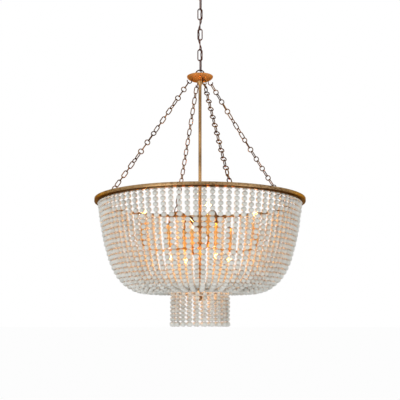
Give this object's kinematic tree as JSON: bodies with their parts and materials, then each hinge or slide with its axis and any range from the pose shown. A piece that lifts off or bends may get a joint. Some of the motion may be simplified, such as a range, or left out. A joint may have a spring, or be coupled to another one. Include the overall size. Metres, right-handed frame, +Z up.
{
  "type": "beaded chandelier",
  "caption": "Chandelier on a chain: a hoop hung with strands of round beads that drape to a short bead tail, round candle lights on a central stem.",
  "frame": {"origin": "middle of the ceiling bracket's top face, which lies on the ceiling", "axes": "+Z up to the ceiling, along the chain and the stem; -Y to the front, the side that the picture shows; +X to its right"},
  "size_m": [0.8, 0.8, 1.3497],
  "materials": {
    "brass": "aged, dull, with a warm gold tone",
    "bronze": "dark bronze, rubbed to a pinkish gold on the high spots",
    "hub": "orange gold leaf with dark mottling",
    "bead": "chalky off-white paint",
    "cord": "dark brown sleeve",
    "bulb": "warm, lit from inside"
  },
  "bodies": {
    "canopy": {"ceiling_bracket": "bronze", "canopy": "brass", "canopy_loop": "bronze", "supply_cord": "cord"},
    "link_1": {"chain_link_1": "bronze"},
    "link_2": {"chain_link_2": "bronze"},
    "link_3": {"chain_link_3": "bronze"},
    "link_4": {"chain_link_4": "bronze"},
    "link_5": {"chain_link_5": "bronze"},
    "link_6": {"chain_link_6": "bronze"},
    "link_7": {"chain_link_7": "bronze"},
    "lamp": {"hub_loop": "bronze", "hub_dish": "hub", "hoop": "brass", "stem": "brass", "hub_hook_1": "bronze", "suspension_chain_1": "bronze", "hoop_ear_1": "brass", "hub_hook_2": "bronze", "suspension_chain_2": "bronze", "hoop_ear_2": "brass", "hub_hook_3": "bronze", "suspension_chain_3": "bronze", "hoop_ear_3": "brass", "hub_hook_4": "bronze", "suspension_chain_4": "bronze", "hoop_ear_4": "brass", "upright_arms": "brass", "upright_sleeve_1": "brass", "upright_sleeve_2": "brass", "upright_sleeve_3": "brass", "upright_sleeve_4": "brass", "hanging_arms": "brass", "hanging_sleeve_1": "brass", "hanging_sleeve_2": "brass", "hanging_sleeve_3": "brass", "hanging_sleeve_4": "brass", "drape_panel_1": "bead", "drape_panel_2": "bead", "drape_panel_3": "bead", "drape_panel_4": "bead", "drape_panel_5": "bead", "drape_panel_6": "bead", "bottom_collar": "bronze", "finial": "brass"},
    "upright_bulb_1_body": {"upright_bulb_1": "bulb"},
    "upright_bulb_2_body": {"upright_bulb_2": "bulb"},
    "upright_bulb_3_body": {"upright_bulb_3": "bulb"},
    "upright_bulb_4_body": {"upright_bulb_4": "bulb"},
    "hanging_bulb_1_body": {"hanging_bulb_1": "bulb"},
    "hanging_bulb_2_body": {"hanging_bulb_2": "bulb"},
    "hanging_bulb_3_body": {"hanging_bulb_3": "bulb"},
    "hanging_bulb_4_body": {"hanging_bulb_4": "bulb"},
    "tail_group_1_body": {"tail_group_1": "bead"},
    "tail_group_2_body": {"tail_group_2": "bead"},
    "tail_group_3_body": {"tail_group_3": "bead"},
    "tail_group_4_body": {"tail_group_4": "bead"},
    "tail_group_5_body": {"tail_group_5": "bead"},
    "tail_group_6_body": {"tail_group_6": "bead"}
  },
  "joints": [
    {"name": "link_1_swing", "type": "hinge", "parent": "canopy", "child": "link_1", "pos_m": [0, 0, -0.0623], "axis": [1, 0, 0], "range_deg": [-25, 25], "deforming": ["supply_cord"]},
    {"name": "link_2_swing", "type": "hinge", "parent": "link_1", "child": "link_2", "pos_m": [0, 0, -0.10445], "axis": [0, 1, 0], "range_deg": [-25, 25], "deforming": ["supply_cord"]},
    {"name": "link_3_swing", "type": "hinge", "parent": "link_2", "child": "link_3", "pos_m": [0, 0, -0.14685], "axis": [1, 0, 0], "range_deg": [-25, 25], "deforming": ["supply_cord"]},
    {"name": "link_4_swing", "type": "hinge", "parent": "link_3", "child": "link_4", "pos_m": [0, 0, -0.18925], "axis": [0, 1, 0], "range_deg": [-25, 25], "deforming": ["supply_cord"]},
    {"name": "link_5_swing", "type": "hinge", "parent": "link_4", "child": "link_5", "pos_m": [0, 0, -0.23165], "axis": [1, 0, 0], "range_deg": [-25, 25], "deforming": ["supply_cord"]},
    {"name": "link_6_swing", "type": "hinge", "parent": "link_5", "child": "link_6", "pos_m": [0, 0, -0.27405], "axis": [0, 1, 0], "range_deg": [-25, 25], "deforming": ["supply_cord"]},
    {"name": "link_7_swing", "type": "hinge", "parent": "link_6", "child": "link_7", "pos_m": [0, 0, -0.31645], "axis": [1, 0, 0], "range_deg": [-25, 25], "deforming": ["supply_cord"]},
    {"name": "lamp_swing", "type": "hinge", "parent": "link_7", "child": "lamp", "pos_m": [0, 0, -0.35885], "axis": [0, 1, 0], "range_deg": [-25, 25], "deforming": ["supply_cord"]},
    {"name": "upright_bulb_1_turn", "type": "hinge", "parent": "lamp", "child": "upright_bulb_1_body", "pos_m": [0.02992, -0.21291, -1.0347], "axis": [0, 0, 1], "range_deg": [0, 720]},
    {"name": "upright_bulb_2_turn", "type": "hinge", "parent": "lamp", "child": "upright_bulb_2_body", "pos_m": [0.21291, 0.02992, -1.0347], "axis": [0, 0, 1], "range_deg": [0, 720]},
    {"name": "upright_bulb_3_turn", "type": "hinge", "parent": "lamp", "child": "upright_bulb_3_body", "pos_m": [-0.02992, 0.21291, -1.0347], "axis": [0, 0, 1], "range_deg": [0, 720]},
    {"name": "upright_bulb_4_turn", "type": "hinge", "parent": "lamp", "child": "upright_bulb_4_body", "pos_m": [-0.21291, -0.02992, -1.0347], "axis": [0, 0, 1], "range_deg": [0, 720]},
    {"name": "hanging_bulb_1_turn", "type": "hinge", "parent": "lamp", "child": "hanging_bulb_1_body", "pos_m": [0.06009, -0.11302, -1.0347], "axis": [0, 0, -1], "range_deg": [0, 720]},
    {"name": "hanging_bulb_2_turn", "type": "hinge", "parent": "lamp", "child": "hanging_bulb_2_body", "pos_m": [0.11302, 0.06009, -1.0347], "axis": [0, 0, -1], "range_deg": [0, 720]},
    {"name": "hanging_bulb_3_turn", "type": "hinge", "parent": "lamp", "child": "hanging_bulb_3_body", "pos_m": [-0.06009, 0.11302, -1.0347], "axis": [0, 0, -1], "range_deg": [0, 720]},
    {"name": "hanging_bulb_4_turn", "type": "hinge", "parent": "lamp", "child": "hanging_bulb_4_body", "pos_m": [-0.11302, -0.06009, -1.0347], "axis": [0, 0, -1], "range_deg": [0, 720]},
    {"name": "tail_group_1_swing", "type": "hinge", "parent": "lamp", "child": "tail_group_1_body", "pos_m": [0.00434, -0.0995, -1.2297], "axis": [-0.999, -0.0436, 0], "range_deg": [-3, 25]},
    {"name": "tail_group_2_swing", "type": "hinge", "parent": "lamp", "child": "tail_group_2_body", "pos_m": [0.08835, -0.04599, -1.2297], "axis": [-0.4617, -0.887, 0], "range_deg": [-3, 25]},
    {"name": "tail_group_3_swing", "type": "hinge", "parent": "lamp", "child": "tail_group_3_body", "pos_m": [0.084, 0.05352, -1.2297], "axis": [0.5373, -0.8434, 0], "range_deg": [-3, 25]},
    {"name": "tail_group_4_swing", "type": "hinge", "parent": "lamp", "child": "tail_group_4_body", "pos_m": [-0.00434, 0.0995, -1.2297], "axis": [0.999, 0.0436, 0], "range_deg": [-3, 25]},
    {"name": "tail_group_5_swing", "type": "hinge", "parent": "lamp", "child": "tail_group_5_body", "pos_m": [-0.08835, 0.04599, -1.2297], "axis": [0.4617, 0.887, 0], "range_deg": [-3, 25]},
    {"name": "tail_group_6_swing", "type": "hinge", "parent": "lamp", "child": "tail_group_6_body", "pos_m": [-0.084, -0.05352, -1.2297], "axis": [-0.5373, 0.8434, 0], "range_deg": [-3, 25]}
  ]
}
